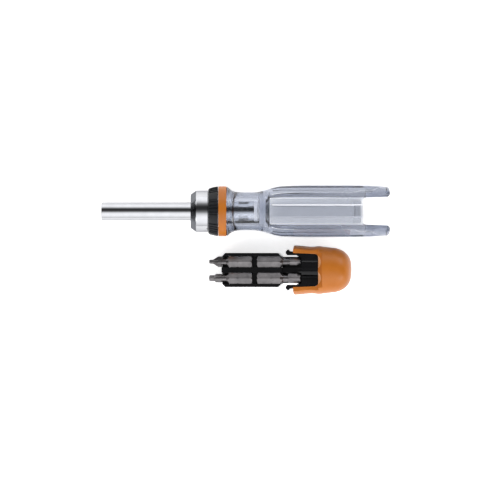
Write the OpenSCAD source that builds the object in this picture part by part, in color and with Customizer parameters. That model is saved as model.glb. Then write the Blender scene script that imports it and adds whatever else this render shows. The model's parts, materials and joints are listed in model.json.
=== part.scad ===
// Ratcheting screwdriver with a clear handle, and its bit cartridge lying beside it.
// X runs along the driver from the mouth of its tube to the fork of its handle, and Z points up.
// The origin is the centre of the tube's mouth. Both items lie on a surface at the height of the
// handle's lowest flat.

/* [Spindle] */
// Outer diameter of the bit tube
tube_d = 10.4; // [10:0.1:11]
// Length of tube that stands out of the nose cover
tube_reach = 51.4; // [35:0.1:80]
// Rounding of the tube's mouth, drawn as a small chamfer
tube_chamfer = 0.3; // [0.1:0.1:0.8]
// Width across the flats of the hex socket
socket_af = 6.45; // [6.4:0.05:6.7]
// Depth of the hex socket
socket_depth = 14; // [10:0.5:20]
// Diameter of the bit magnet
magnet_d = 5.8; // [4:0.1:6]
// Length of the bit magnet
magnet_len = 4; // [2:0.5:8]
// Diameter of the spindle where the gear is pressed on
gear_seat_d = 9; // [8:0.1:9.1]
// Diameter of the spindle's rear journal
journal_d = 7; // [5:0.1:7.6]
// How far the rear journal reaches past its bush
journal_end = 3; // [2.4:0.1:4]
// Depth that the tube is turned down inside the nose cover
bearing_step = 0.35; // [0.3:0.05:0.4]

/* [Nose cover] */
// Outer diameter of the nose cover
cover_d = 24; // [23.6:0.1:25.6]
// Length of the nose cover
cover_len = 9.9; // [8.5:0.1:14]
// Front chamfer of the cover along the axis
cover_chamfer_len = 3.2; // [1:0.1:3.6]
// Front chamfer of the cover across the axis
cover_chamfer_depth = 2.25; // [0.5:0.05:2.6]
// Wall of the cover round the housing
cover_wall = 0.95; // [0.6:0.05:1]
// Thickness of the cover's front, which holds the front bush
cover_face = 4.6; // [3.8:0.1:5.2]
// Wall of the front bush
bush_wall = 1.3; // [0.8:0.1:2]

/* [Selector ring] */
// Front diameter of the selector ring
selector_front_d = 26.1; // [25.6:0.1:27]
// Rear diameter of the selector ring
selector_rear_d = 28.7; // [27:0.1:28.7]
// Length of the selector ring
selector_len = 6; // [5.6:0.1:9]
// Front edge chamfer of the selector ring
selector_chamfer = 0.7; // [0.3:0.1:1]
// Turn of the selector ring each way from the locked position, in degrees
selector_swing = 18; // [10:1:20]
// Width of one grip groove in the selector ring
groove_w = 0.7; // [0.4:0.1:0.9]
// Depth of one grip groove
groove_depth = 0.45; // [0.2:0.05:0.6]
// Number of grip grooves in one group
groove_count = 5; // [3:1:6]
// Number of groups of grip grooves
groove_groups = 6; // [3:1:8]
// Turn of the groups of grooves from the top, in degrees
groove_turn = 10; // [0:1:30]

/* [Colour ring] */
// Outer diameter of the colour ring, which touches the surface
ring_d = 28.8; // [28.8:0.1:30]
// Length of the colour ring
ring_len = 4.6; // [3.6:0.1:8]
// Edge chamfer of the colour ring
ring_chamfer = 0.25; // [0.1:0.05:0.5]
// Wall of the colour ring
ring_wall = 2.1; // [1.2:0.1:2.2]

/* [Ratchet] */
// Number of teeth of the ratchet gear
gear_teeth = 24; // [24:12:36]
// Tip diameter of the ratchet gear
gear_tip_d = 13; // [12.8:0.1:13]
// Depth of a gear tooth
tooth_depth = 1.15; // [1:0.05:1.2]
// Diameter of the pocket that holds the gear and pawls
pocket_d = 20.4; // [20.2:0.1:20.6]
// Diameter of the housing under the selector ring
housing_d = 22.6; // [22.4:0.1:23]
// Solid floor of the housing behind the gear
floor_t = 2.5; // [2.2:0.1:2.8]
// Distance of the pawl pins from the axis
pawl_pivot_r = 8.5; // [8.45:0.05:8.55]
// Diameter of a pawl pin
pawl_pin_d = 1.6; // [1.2:0.1:1.7]
// Diameter of a pawl's boss
pawl_boss_d = 3; // [2.6:0.1:3]
// Turn of a pawl each way, in degrees
pawl_swing = 4.5; // [4.5:0.1:5]
// Diameter of the detent ball
ball_d = 1.6; // [1.2:0.1:1.6]
// How far the detent ball stands out of the housing
ball_proud = 0.45; // [0.3:0.05:0.5]
// Wire of the small springs
spring_wire = 0.25; // [0.2:0.05:0.3]

/* [Housing stem] */
// Diameter of the metal stem inside the handle's neck
stem_d = 11.7; // [11:0.1:13]
// Length of the metal stem behind the colour ring
stem_len = 15.9; // [13:0.1:18]
// Distance from the colour ring to the stem's recesses
recess_start = 6.8; // [6:0.1:8]
// Length of the stem's recesses
recess_len = 5.8; // [3:0.1:6.5]
// Width of the stem's recesses
recess_w = 2.8; // [2:0.1:3.6]
// Depth of the stem's recesses
recess_depth = 0.8; // [0.6:0.1:1.2]
// Number of recesses round the stem
recess_count = 5; // [3:2:7]

/* [Handle] */
// Thickness of the handle's front rim
rim_t = 0.8; // [0.5:0.1:1.5]
// Diameter of the handle's front rim
rim_d = 28.3; // [27:0.1:28.6]
// Length of the flare behind the rim
flare_len = 10.9; // [7:0.1:14]
// Length of the straight neck
neck_len = 3.4; // [1:0.1:8]
// Diameter of the neck
neck_d = 22; // [19:0.1:24]
// Length of the shoulder between neck and grip
shoulder_len = 18; // [12:0.5:24]
// Diameter at the end of the shoulder
shoulder_d = 29.2; // [28:0.1:29.6]
// Length over which the shoulder swells to the full grip
crown_len = 13; // [6:0.5:20]
// Largest diameter of the grip
grip_d = 29.9; // [29.6:0.1:31]
// Length of the grip at full diameter
grip_len = 27; // [24:0.5:50]
// Length of the tapered tail
tail_len = 20.7; // [20:0.1:26]
// Diameter at the tips of the fork
tail_d = 28.1; // [27.4:0.1:29.4]
// Distance of the grip's flats from the axis, which is also the height of the axis above the surface
flat_reach = 14.4; // [14.4:0.05:14.6]
// Number of flats round the grip
flat_count = 6; // [6:2:8]
// Length of the bore that takes the stem
bore_len = 19.4; // [18.5:0.1:21]
// Thickness of the wall between that bore and the cartridge chamber
partition_t = 3.4; // [2.5:0.1:6]
// Chamfer round the front end of the cartridge chamber
chamber_chamfer = 2.1; // [1:0.1:2.5]
// Width of the cartridge chamber and of the fork's gap, across the driver
chamber_w = 15.4; // [15.3:0.1:16.2]
// Depth of the cartridge chamber, upwards
chamber_h = 20.2; // [20:0.1:21]
// Corner radius of the cartridge chamber
chamber_corner = 1.5; // [0.8:0.1:2]
// Length of the fork's prongs
fork_len = 16.1; // [10:0.1:18]
// Widening of the fork's gap on each side, from root to tips
fork_flare = 0.4; // [0:0.1:0.6]
// Fillet at the root of the fork's gap
fork_fillet = 2.2; // [1:0.1:3]
// Rounding of the prongs' outer tips
prong_round = 1.8; // [0.5:0.1:2.5]
// Length of the latch recesses in front of the fork's gap
latch_len = 4.3; // [4:0.1:6]
// Width of a latch recess
latch_w = 6.6; // [5:0.1:7]
// Depth of a latch recess into the chamber's wall
latch_depth = 2; // [1.9:0.1:2.4]

/* [Bit holder] */
// Place of the holder's nose along the driver
holder_x = 69.3; // [60:0.1:90]
// Distance from the driver's axis to the cartridge's axis
cartridge_gap = 33.75; // [32:0.25:60]
// Half width of the bit holder
holder_half_w = 9.8; // [9.7:0.05:9.95]
// Half depth of the bit holder's rails, lower than the bits in them
holder_half_h = 5.8; // [5.6:0.05:6]
// Corner chamfer of the holder's ends
holder_chamfer = 2.2; // [1:0.1:2.4]
// Thickness of the wall between the two bits of a row
bridge_t = 2.4; // [1.5:0.1:4]
// Thickness of the nose wall that the bits' necks lie in
nose_wall = 1.4; // [0.8:0.1:2]
// Thickness of the web between front and back bits
web_t = 1.2; // [0.8:0.1:1.4]
// Distance from the holder's nose to the bits' hexes
hex_start = 3.9; // [3.2:0.1:5]
// How far the holder's frame reaches past the right hexes
end_reach = 0.4; // [0.3:0.05:1]
// Length of the waist between the holder's frame and its base
waist_len = 8.9; // [8.6:0.1:14]
// Length of the base block
base_len = 12.1; // [8:0.1:16]
// Half width of the base block at its rear
base_half_w = 9.15; // [8:0.05:9.2]
// Widening of the base block on each side, towards the bits
base_flare = 0.45; // [0:0.05:0.5]
// Half depth of the base block
base_half_h = 7.2; // [6.5:0.05:7.3]
// Rounding of the base block's rear corners and of the cap's slot round them
base_round = 1.5; // [0.8:0.1:2]
// Length of the tenon that is pressed into the cap
tenon_len = 7; // [4:0.1:9]
// Width of the tenon
tenon_w = 11; // [8:0.1:13]
// Thickness of the tenon
tenon_h = 7; // [5:0.1:9]

/* [Snap arms] */
// Length of a snap arm in front of the base block
arm_len = 7; // [5:0.1:8]
// Width of a snap arm
arm_w = 6.2; // [4:0.1:6.2]
// Inner face of a snap arm, from the cartridge's axis
arm_inner = 8.5; // [8.4:0.05:8.6]
// Thickness of a snap arm
arm_t = 2.2; // [1.6:0.1:2.3]
// Height of the barb above the arm
barb_h = 1.2; // [0.6:0.1:1.3]
// Length of the barb
barb_len = 2.6; // [1.5:0.1:3]

/* [End cap] */
// Radius of the cap where its dome begins
cap_r = 13.8; // [13.5:0.05:14.1]
// Length of the cap's dome
dome_len = 18.3; // [17:0.1:24]
// Length of the dome's gently tapered part
dome_taper_len = 7; // [4:0.1:9]
// Loss of radius over the tapered part
dome_taper = 0.85; // [0.4:0.05:1.2]
// Length of the cap's skirts
skirt_len = 14.6; // [10:0.1:15]
// Radius of the skirts at their tips
skirt_tip_r = 14.25; // [14.1:0.05:14.3]
// Radius of the skirts at their waist
skirt_waist_r = 13.4; // [13.2:0.05:13.6]
// Inner face of a skirt at its tip, from the axis
skirt_inner_tip = 9.9; // [9.8:0.05:10.2]
// Inner face of a skirt at its root, from the axis
skirt_inner_root = 9.3; // [9.25:0.05:9.4]
// Side clearance between the skirts and the fork
skirt_side_gap = 0.2; // [0.1:0.05:0.4]
// Length of the step between the skirts' roots and the dome
step_len = 2.4; // [1.5:0.1:3]
// Half height of that step
step_half_h = 9.3; // [8.8:0.1:10]
// Half width of that step
step_half_w = 10.3; // [9.8:0.1:10.6]
// Radius of the two scoops in each side of that step
scoop_r = 4.4; // [4:0.1:4.6]
// Depth of those scoops below the step
scoop_depth = 1.2; // [0.6:0.1:1.6]

/* [Bits] */
// Width across the flats of a bit's hex
bit_af = 6.35; // [6.3:0.01:6.35]
// Length of a bit's hex
hex_len = 14; // [12.5:0.1:14.4]
// Length of a whole bit
bit_len = 25.2; // [24:0.1:25.6]
// Distance of the bit rows from the cartridge's axis, across
row_y = 4.75; // [4.7:0.01:4.8]
// Distance of the bit layers from the cartridge's axis, in depth
layer_z = 3.9; // [3.85:0.01:4]
// Diameter of a bit's neck beside its hex
neck_bit_d = 4.2; // [3.4:0.1:4.4]
// Distance of the corner notches from a bit's rear end
notch_place = 8.4; // [5:0.1:10]

/* [Bit tips] */
// Shaft diameter of the large cross tip
cross_large_d = 6.2; // [5:0.1:6.2]
// Point diameter of the large cross tip
cross_large_point = 2.5; // [1.5:0.1:3]
// Shaft diameter of the small cross tip
cross_small_d = 4.5; // [4:0.1:5]
// Point diameter of the small cross tip
cross_small_point = 1.8; // [1:0.1:2.2]
// Length of a cross tip's cone
cross_cone = 3; // [1.5:0.1:3.2]
// Length of a cross tip's point in front of the cone
cross_point = 2.3; // [1:0.1:2.6]
// Shoulder diameter of the square tip
square_shoulder_d = 5; // [4.5:0.1:6]
// Width across the flats of the square tip
square_w = 2.5; // [2:0.1:3.3]
// Length of the square tip
square_len = 2.9; // [2:0.1:4]
// Width across the flats of the small hex key
hex_small_af = 3.9; // [3:0.1:4.5]
// Length of the small hex key
hex_small_len = 6.4; // [4:0.1:7]
// Width across the flats of the large hex key
hex_large_af = 5.4; // [4.6:0.1:5.6]
// Length of the large hex key
hex_large_len = 7.2; // [5:0.1:7.7]
// Diameter of the star tip
star_d = 2.8; // [2.4:0.1:3.2]
// Length of the star tip
star_len = 3.2; // [2:0.1:5]
// Shaft diameter of the slotted tips
slot_shaft_d = 5.4; // [4.6:0.1:6]
// Width of the narrow slotted blade
slot_narrow_w = 4; // [3:0.1:4.5]
// Width of the wide slotted blade
slot_wide_w = 5.4; // [4.6:0.1:5.5]
// Thickness of the slotted blades
slot_t = 0.9; // [0.6:0.1:1.2]
// Length over which a slotted blade tapers
slot_taper = 5.5; // [4:0.1:7]

/* [Fits] */
// Radial clearance of a running fit
run_gap = 0.05; // [0.02:0.01:0.08]
// Clearance between pieces that are pressed or glued together
seat_gap = 0.02; // [0.01:0.01:0.04]
// Side clearance of turning and sliding pieces
side_gap = 0.15; // [0.1:0.05:0.25]
// Clearance between a bit and the rails that grip it
grip_gap = 0.06; // [0.04:0.01:0.1]

/* [Hidden] */

$fn = 72;

// One overrun serves all cuts
over = 1;

// Places along the driver's axis
cover_x = tube_reach;
selector_x = cover_x + cover_len;
ring_x = selector_x + selector_len;
handle_x = ring_x + ring_len;
handle_len = rim_t + flare_len + neck_len + shoulder_len + crown_len + grip_len + tail_len;
tip_x = handle_x + handle_len;
fork_x = tip_x - fork_len;
bore_end_x = handle_x + bore_len;
chamber_x = bore_end_x + partition_t;
pocket_x = cover_x + cover_face + side_gap;
floor_x = ring_x - floor_t;
pawl_x = selector_x + side_gap;
pawl_len = floor_x - side_gap - pawl_x;
retainer_len = pawl_x - side_gap - pocket_x;
rear_bush_end_x = handle_x - side_gap;
journal_end_x = rear_bush_end_x + journal_end;
ball_x = ring_x - floor_t / 2;

// Radii of the mechanism
tube_r = tube_d / 2;
bearing_r = tube_r - bearing_step;
bush_r = bearing_r + run_gap + bush_wall;
cover_bore_r = cover_d / 2 - cover_wall;
housing_r = housing_d / 2;
pocket_r = pocket_d / 2;
gear_tip_r = gear_tip_d / 2;
gear_root_r = gear_tip_r - tooth_depth;
journal_r = journal_d / 2;
rear_bush_r = journal_r + run_gap + bush_wall;
ring_bore_r = ring_d / 2 - ring_wall;
stem_r = stem_d / 2;
ball_r = ball_d / 2;
ball_z = housing_r + ball_proud - ball_r;
circlip_t = 0.8;
circlip_wall = 1;
circlip_depth = 0.6;
circlip_gap = 1.6;

// Angles of the ratchet, in degrees from the Y axis
tooth_pitch = 360 / gear_teeth;
pawl_nose_angle = 60;
pawl_pivot_angle = 5;
pawl_pivot_y = pawl_pivot_r * cos(pawl_pivot_angle);
pawl_pivot_z = pawl_pivot_r * sin(pawl_pivot_angle);
cam_half_angle = 8;
cam_slot_spare = 3;
cam_play = 0.2;
groove_space = 3;
tooth_tip_share = 0.147;
tooth_root_share = 0.32;

// The pawl's nose clears the teeth at one end of its swing and reaches a tooth gap's root at the other end
nose_clearance = 0.1;
nose_travel = pawl_pivot_r * sin(pawl_nose_angle - pawl_pivot_angle) * pawl_swing * PI / 180;
nose_tip_r = gear_tip_r + nose_clearance - nose_travel;
nose_tip_half = 0.14;
nose_root_half = 0.44;
nose_len = 1.2;
pawl_front_gap = 0.8;
pawl_back_gap = 0.7;
pawl_tail_drop = 0.5;
pawl_arm_angle = 35;
pawl_arm_outer_angle = 32;
pawl_joint_angle = 11;
pawl_joint_overlap = 1;
pawl_bend_angle = -35;
pawl_tail_angle = -58;
pawl_tail_outer_angle = -56;
spring_seat_z = 7.3;
spring_seat_half = 0.95;
spring_y = 3.55;
pawl_spring_d = 1.7;
pawl_spring_turns = 2;
ball_spring_turns = 3;
coil_steps = 8;
coil_sides = 6;
ball_hole_floor_z = 6.8;

// Places along the cartridge's own axis, in the driver's X when it lies level
hex_left_x = holder_x + hex_start;
bridge_x = hex_left_x + hex_len + side_gap;
hex_right_x = bridge_x + bridge_t + side_gap + hex_len;
holder_end_x = hex_right_x + end_reach;
base_x = holder_end_x + waist_len;
base_end_x = base_x + base_len;
cap_x = base_end_x + side_gap;
arm_x = base_x - arm_len;
skirt_x = cap_x - skirt_len;
hex_r = bit_af / 2 / cos(30);
rail_inner = bit_af / 2 + grip_gap;

// The cartridge lies on the rim of its cap and on the lowest corners of the back bits at its nose
hex_chamfer = 0.7;
rest_x = hex_left_x + hex_chamfer;
rest_h = layer_z + hex_r;
cartridge_tilt = atan((cap_r - rest_h) / (cap_x - rest_x));
cartridge_z = cap_r * cos(cartridge_tilt) - flat_reach;

bit_neck_cone = 1.2;
notch_w = 1.1;
notch_depth = 0.35;

// Shares of a shape's own size, and powers that bend its outline
dome_power = 1.8;
dome_root = 3;
flare_power = 4;
cross_rib_share = 0.6;
cross_end_share = 0.9;
cross_rise = 8;
square_end_share = 0.62;
key_chamfer_share = 0.1;
star_lobe_share = 0.13;
star_sink_share = 0.35;
scoop_back_share = 0.62;

bit_shade = [0.55, 0.55, 0.57];
black_shade = [0.12, 0.13, 0.14];
orange_shade = [0.8, 0.47, 0.18];
steel_shade = [0.72, 0.73, 0.75];

function lerp(a, b, t) = a + (b - a) * t;
function polar(r, a) = [r * cos(a), r * sin(a)];
function ease(t) = (1 - cos(180 * t)) / 2;

// Turns a shape that was made round the Z axis so that it lies along X
module along_x(x = 0) {
  translate([x, 0, 0]) rotate([0, 90, 0]) children();
}

// A ring or disc along X, from x to x + len
module tube_x(x, len, outer_r, inner_r = 0) {
  along_x(x) difference() {
    cylinder(h = len, r = outer_r);
    if (inner_r > 0) translate([0, 0, -over]) cylinder(h = len + 2 * over, r = inner_r);
  }
}

// Extrudes an outline, drawn as Y and Z, along X
module plate_x(x, len) {
  translate([x, 0, 0]) rotate([90, 0, 90]) linear_extrude(len) children();
}

// Revolves an outline of [radius, place] points round X
module revolve_x(points) {
  along_x() rotate_extrude() polygon(points);
}

// A box along X that is centred on the axis
module bar_x(x, len, w, h) {
  translate([x, -w / 2, -h / 2]) cube([len, w, h]);
}

// A wedge of a ring along X, between two angles from the Y axis
module sector_x(x, len, outer_r, inner_r, from_angle, to_angle) {
  steps = 6;
  outer = [for (i = [0:steps]) polar(outer_r, lerp(from_angle, to_angle, i / steps))];
  inner = [for (i = [0:steps]) polar(inner_r, lerp(to_angle, from_angle, i / steps))];
  plate_x(x, len) polygon(concat(outer, inner));
}

// A wound spring along Z as one tube, with straight ends
function coil_points(d, wire, len, turns) =
  let (r = (d - wire) / 2, count = coil_steps * turns, rise = len - 4 * wire)
  concat(
    [[r, 0, 0], [r, 0, wire]],
    [for (i = [0:count]) concat(polar(r, 360 * i / coil_steps), 1.5 * wire + (rise + wire) * i / count)],
    [[r, 0, len - wire], [r, 0, len]]
  );

function unit(v) = v / norm(v);

module coil_spring(d, wire, len, turns) {
  path = coil_points(d, wire, len, turns);
  sides = coil_sides;
  last = len(path) - 1;
  points = [
    for (i = [0:last])
      let (
        along = (i < 2 || i > last - 2) ? [0, 0, 1] : unit(path[i + 1] - path[i - 1]),
        out = unit([path[i][0], path[i][1], 0]),
        side = unit(cross(along, out)),
        up = cross(side, along)
      )
      for (k = [0:sides - 1])
        path[i] + (wire / 2) * (cos(360 * k / sides) * up + sin(360 * k / sides) * side)
  ];
  walls = [
    for (i = [0:last - 1])
      for (k = [0:sides - 1])
        let (n = (k + 1) % sides)
        for (half = [0:1])
          half == 0
            ? [i * sides + k, i * sides + n, (i + 1) * sides + n]
            : [i * sides + k, (i + 1) * sides + n, (i + 1) * sides + k]
  ];
  ends = [
    for (k = [1:sides - 2])
      for (half = [0:1])
        half == 0 ? [0, k + 1, k] : [last * sides, last * sides + k, last * sides + k + 1]
  ];
  polyhedron(points, concat(walls, ends));
}

// Spindle

module hex_prism_x(x, len, af) {
  along_x(x) cylinder(h = len, r = af / 2 / cos(30), $fn = 6);
}

module spindle_tube() {
  gear_x = pawl_x;
  seat_end_x = pawl_x + pawl_len;
  magnet_seat_r = magnet_d / 2 + seat_gap;
  color(steel_shade) difference() {
    revolve_x([
      [0, 0], [tube_r - tube_chamfer, 0], [tube_r, tube_chamfer],
      [tube_r, cover_x], [bearing_r, cover_x], [bearing_r, gear_x],
      [gear_seat_d / 2, gear_x], [gear_seat_d / 2, seat_end_x],
      [journal_r, seat_end_x],
      [journal_r, rear_bush_end_x + side_gap], [journal_r - circlip_depth, rear_bush_end_x + side_gap],
      [journal_r - circlip_depth, rear_bush_end_x + 2 * side_gap + circlip_t],
      [journal_r, rear_bush_end_x + 2 * side_gap + circlip_t],
      [journal_r, journal_end_x - tube_chamfer], [journal_r - tube_chamfer, journal_end_x], [0, journal_end_x]
    ]);
    translate([-over, 0, 0]) hex_prism_x(0, socket_depth + over, socket_af);
    tube_x(socket_depth - over, magnet_len + over, magnet_seat_r);
    along_x(-seat_gap)
      cylinder(h = tube_chamfer + seat_gap, r1 = socket_af / 2 / cos(30) + tube_chamfer, r2 = socket_af / 2);
  }
}

module bit_magnet() {
  color("gray") tube_x(socket_depth, magnet_len - seat_gap, magnet_d / 2);
}

module ratchet_gear() {
  tip_half = tooth_pitch * tooth_tip_share;
  root_half = tooth_pitch * tooth_root_share;
  outline = [
    for (i = [0:gear_teeth - 1])
      let (a = (i + 0.5) * tooth_pitch)
      for (p = [
        polar(gear_root_r, a - root_half), polar(gear_tip_r, a - tip_half),
        polar(gear_tip_r, a + tip_half), polar(gear_root_r, a + root_half)
      ]) p
  ];
  color("dimgray") difference() {
    plate_x(pawl_x, pawl_len) polygon(outline);
    tube_x(pawl_x - over, pawl_len + 2 * over, gear_seat_d / 2 + seat_gap);
  }
}

module spindle_circlip() {
  inner_r = journal_r - circlip_depth + seat_gap;
  color("dimgray") difference() {
    tube_x(rear_bush_end_x + 1.5 * side_gap, circlip_t, inner_r + circlip_wall, inner_r);
    translate([rear_bush_end_x, -circlip_gap / 2, 0]) cube([circlip_t + 4 * side_gap, circlip_gap, journal_d]);
  }
}

// Housing, nose cover and bushes

module nose_cover() {
  color(steel_shade) revolve_x([
    [bush_r + seat_gap, cover_x], [cover_d / 2 - cover_chamfer_depth, cover_x],
    [cover_d / 2, cover_x + cover_chamfer_len], [cover_d / 2, selector_x],
    [cover_bore_r, selector_x], [cover_bore_r, cover_x + cover_face],
    [bush_r + seat_gap, cover_x + cover_face]
  ]);
}

module front_bush() {
  color("darkgoldenrod")
    tube_x(cover_x + side_gap, cover_face - 2 * side_gap, bush_r, bearing_r + run_gap);
}

module rear_bush() {
  color("darkgoldenrod")
    tube_x(floor_x + side_gap, rear_bush_end_x - floor_x - side_gap, rear_bush_r, journal_r + run_gap);
}

module stem_recesses() {
  for (i = [1:recess_count])
    rotate([(i * 360 - 180) / recess_count, 0, 0])
      translate([handle_x + recess_start, -recess_w / 2, stem_r - recess_depth])
        cube([recess_len, recess_w, recess_depth + over]);
}

module pawl_pin_places() {
  for (side = [0, 1])
    mirror([0, side, 0]) translate([0, pawl_pivot_y, pawl_pivot_z]) children();
}

module ratchet_housing() {
  circlip_room_r = journal_r + circlip_wall + side_gap;
  slot_half = selector_swing + cam_half_angle + cam_slot_spare;
  boss_r = cover_bore_r - seat_gap;
  color(steel_shade) difference() {
    union() {
      tube_x(pocket_x - side_gap + seat_gap, selector_x - pocket_x + side_gap, boss_r);
      tube_x(selector_x, selector_len, housing_r);
      tube_x(ring_x, ring_len, ring_bore_r - seat_gap);
      tube_x(handle_x - seat_gap, stem_len + seat_gap, stem_r);
    }
    tube_x(pocket_x - over, floor_x - pocket_x + over, pocket_r);
    tube_x(floor_x - over, rear_bush_end_x - floor_x + over, rear_bush_r + seat_gap);
    tube_x(rear_bush_end_x - over, journal_end + over + 2 * side_gap, circlip_room_r);
    sector_x(
      pawl_x - side_gap, pawl_len + 2 * side_gap, housing_r + over, pocket_r - over,
      -90 - slot_half, -90 + slot_half
    );
    pawl_pin_places() tube_x(floor_x - over, floor_t / 2 + over, pawl_pin_d / 2 + seat_gap);
    translate([ball_x, 0, ball_hole_floor_z]) cylinder(h = housing_r, r = ball_r + run_gap);
    stem_recesses();
  }
}

module pawl_retainer() {
  color("dimgray") difference() {
    tube_x(pocket_x, retainer_len, pocket_r - seat_gap, gear_tip_r + side_gap);
    pawl_pin_places() tube_x(pocket_x - over, retainer_len + 2 * over, pawl_pin_d / 2 + seat_gap);
  }
}

module pawl_pins() {
  color("silver") pawl_pin_places()
    tube_x(pocket_x, floor_x + floor_t / 2 - pocket_x - seat_gap, pawl_pin_d / 2);
}

// Pawls, which rock about their pins so that a nose drops into the gear

module pawl_shape() {
  nose = polar(nose_tip_r, pawl_nose_angle);
  along = polar(1, pawl_nose_angle);
  across = [-along[1], along[0]];
  root = nose + nose_len * along;
  boss_r = pawl_boss_d / 2;
  inner_r = gear_tip_r + pawl_front_gap;
  outer_r = pocket_r - pawl_back_gap;
  difference() {
    union() {
      plate_x(pawl_x, pawl_len) polygon([
        nose + nose_tip_half * across, nose - nose_tip_half * across,
        root - nose_root_half * across,
        polar(inner_r, pawl_arm_angle), polar(inner_r, pawl_joint_angle - pawl_joint_overlap),
        polar(outer_r, pawl_joint_angle - pawl_joint_overlap), polar(outer_r, pawl_arm_outer_angle),
        [spring_y + spring_seat_half, spring_seat_z], [spring_y - spring_seat_half, spring_seat_z],
        root + nose_root_half * across
      ]);
      plate_x(pawl_x, pawl_len) polygon([
        polar(inner_r, pawl_joint_angle + pawl_joint_overlap),
        polar(outer_r, pawl_joint_angle + pawl_joint_overlap),
        polar(outer_r, pawl_bend_angle), polar(outer_r - pawl_tail_drop, pawl_tail_outer_angle),
        polar(inner_r + pawl_tail_drop, pawl_tail_angle), polar(inner_r, pawl_bend_angle)
      ]);
      translate([0, pawl_pivot_y, pawl_pivot_z]) tube_x(pawl_x, pawl_len, boss_r);
    }
    translate([0, pawl_pivot_y, pawl_pivot_z])
      tube_x(pawl_x - over, pawl_len + 2 * over, pawl_pin_d / 2 + run_gap);
  }
}

module pawl_left() {
  color("slategray") pawl_shape();
}

module pawl_right() {
  color("slategray") mirror([0, 1, 0]) pawl_shape();
}

module pawl_spring() {
  edge_y = spring_y + pawl_spring_d / 2;
  roof_z = sqrt(pocket_r * pocket_r - edge_y * edge_y);
  translate([pawl_x + pawl_len / 2, spring_y, spring_seat_z + seat_gap])
    coil_spring(pawl_spring_d, spring_wire, roof_z - spring_seat_z - 2 * seat_gap, pawl_spring_turns);
}

module pawl_spring_left() {
  color("silver") pawl_spring();
}

module pawl_spring_right() {
  color("silver") mirror([0, 1, 0]) pawl_spring();
}

// Selector ring, its cam and its detent

module selector_ring() {
  bore_r = housing_r + run_gap;
  groove_r = housing_r + ball_proud + run_gap;
  group_pitch = 360 / groove_groups;
  groove_pitch = group_pitch / (groove_count + groove_space);
  front_r = selector_front_d / 2;
  rear_r = selector_rear_d / 2;
  track_half_w = ball_r + 2 * run_gap;
  color(black_shade) difference() {
    revolve_x([
      [bore_r, selector_x + side_gap], [front_r - selector_chamfer, selector_x + side_gap],
      [front_r, selector_x + side_gap + selector_chamfer],
      [rear_r, ring_x - side_gap - ring_chamfer], [rear_r - ring_chamfer, ring_x - side_gap],
      [bore_r, ring_x - side_gap]
    ]);
    for (group = [0:groove_groups - 1])
      for (i = [0:groove_count - 1])
        rotate([group * group_pitch - groove_turn + (i - (groove_count - 1) / 2) * groove_pitch, 0, 0])
          translate([selector_x, 0, 0])
            rotate([0, -atan((rear_r - front_r) / selector_len), 0])
              translate([-over, -groove_w / 2, front_r - groove_depth])
                cube([selector_len + 2 * over, groove_w, over + selector_len]);
    sector_x(
      ball_x - track_half_w, 2 * track_half_w, groove_r, bore_r - over,
      90 - selector_swing - cam_half_angle, 90 + selector_swing + cam_half_angle
    );
    for (stop = [-1:1])
      rotate([stop * selector_swing, 0, 0]) translate([ball_x, 0, ball_z]) sphere(r = ball_r + 2 * run_gap);
    sector_x(pawl_x, pawl_len, bore_r + cover_wall, bore_r - over, -90 - cam_half_angle, -90 + cam_half_angle);
  }
}

module selector_cam() {
  head_half = cam_half_angle - cam_play;
  color("silver")
    sector_x(
      pawl_x + side_gap, pawl_len - 2 * side_gap, housing_r + run_gap + cover_wall - 2 * seat_gap,
      gear_tip_r + tooth_depth, -90 - head_half, -90 + head_half
    );
}

module detent_ball() {
  color("silver") translate([ball_x, 0, ball_z]) sphere(r = ball_r);
}

module detent_spring() {
  spring_d = ball_d - 2 * run_gap;
  color("silver") translate([ball_x, 0, ball_hole_floor_z + seat_gap])
    coil_spring(spring_d, spring_wire, ball_z - ball_r - ball_hole_floor_z - 2 * seat_gap, ball_spring_turns);
}

module colour_ring() {
  outer_r = ring_d / 2;
  color(orange_shade) revolve_x([
    [ring_bore_r, ring_x + seat_gap], [outer_r - ring_chamfer, ring_x + seat_gap],
    [outer_r, ring_x + ring_chamfer + seat_gap], [outer_r, handle_x - ring_chamfer - seat_gap],
    [outer_r - ring_chamfer, handle_x - seat_gap], [ring_bore_r, handle_x - seat_gap]
  ]);
}

// Handle

// Radius of the handle at a distance from its front, without its flats
function flare_r(t) = neck_d / 2 + (rim_d - neck_d) / 2 * pow(1 - t, flare_power);
function shoulder_r(t) = lerp(neck_d, shoulder_d, ease(t)) / 2;
function crown_r(t) = lerp(shoulder_d, grip_d, sin(90 * t)) / 2;
function tail_r(t) = lerp(grip_d, tail_d, t * t) / 2;

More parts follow.
